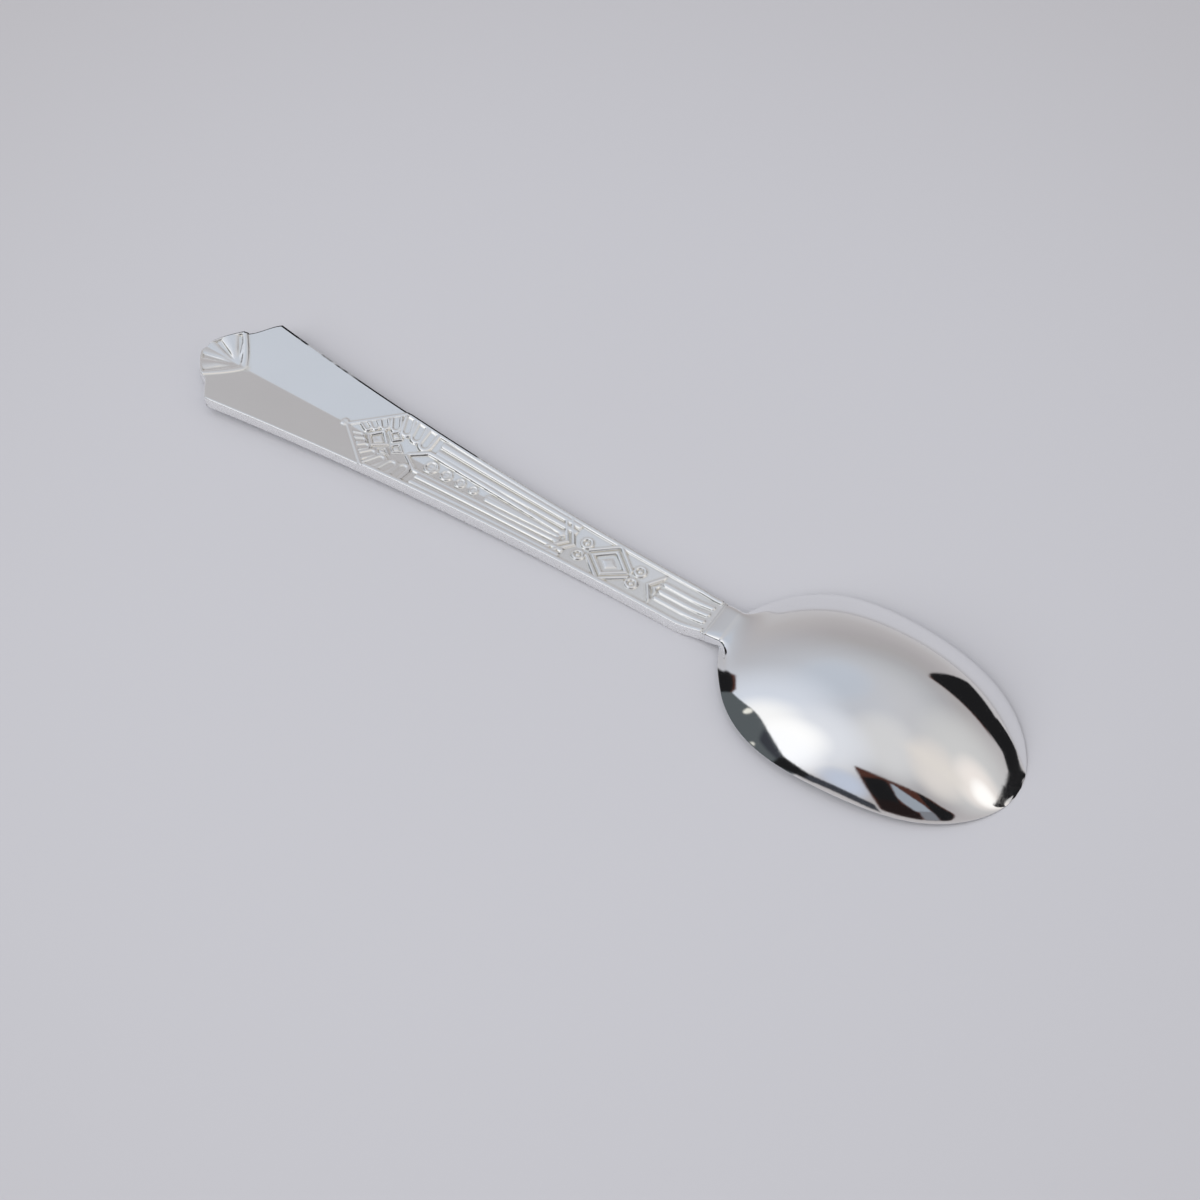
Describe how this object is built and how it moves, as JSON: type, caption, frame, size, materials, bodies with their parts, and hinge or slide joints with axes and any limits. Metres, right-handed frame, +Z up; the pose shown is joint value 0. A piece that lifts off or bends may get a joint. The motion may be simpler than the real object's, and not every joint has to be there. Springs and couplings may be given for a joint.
{
  "type": "teaspoon",
  "caption": "Silver teaspoon lying face down: a polished oval bowl soldered to a folded, tapering handle with a shell end and relief ornament on its back.",
  "frame": {"origin": "middle of the spoon's length, on the table that it lies on face down", "axes": "+X along the spoon from the shell end of the handle to the tip of the bowl, +Z up out of the table"},
  "size_m": [0.15, 0.0328, 0.0111],
  "materials": {
    "bowl_silver": "mirror-polished silver plate",
    "handle_silver": "struck silver plate, bright with a softer sheen in the relief",
    "solder": "polished hard solder"
  },
  "bodies": {
    "root": {"bowl": "bowl_silver", "handle": "handle_silver", "solder_seam": "solder"}
  },
  "joints": []
}
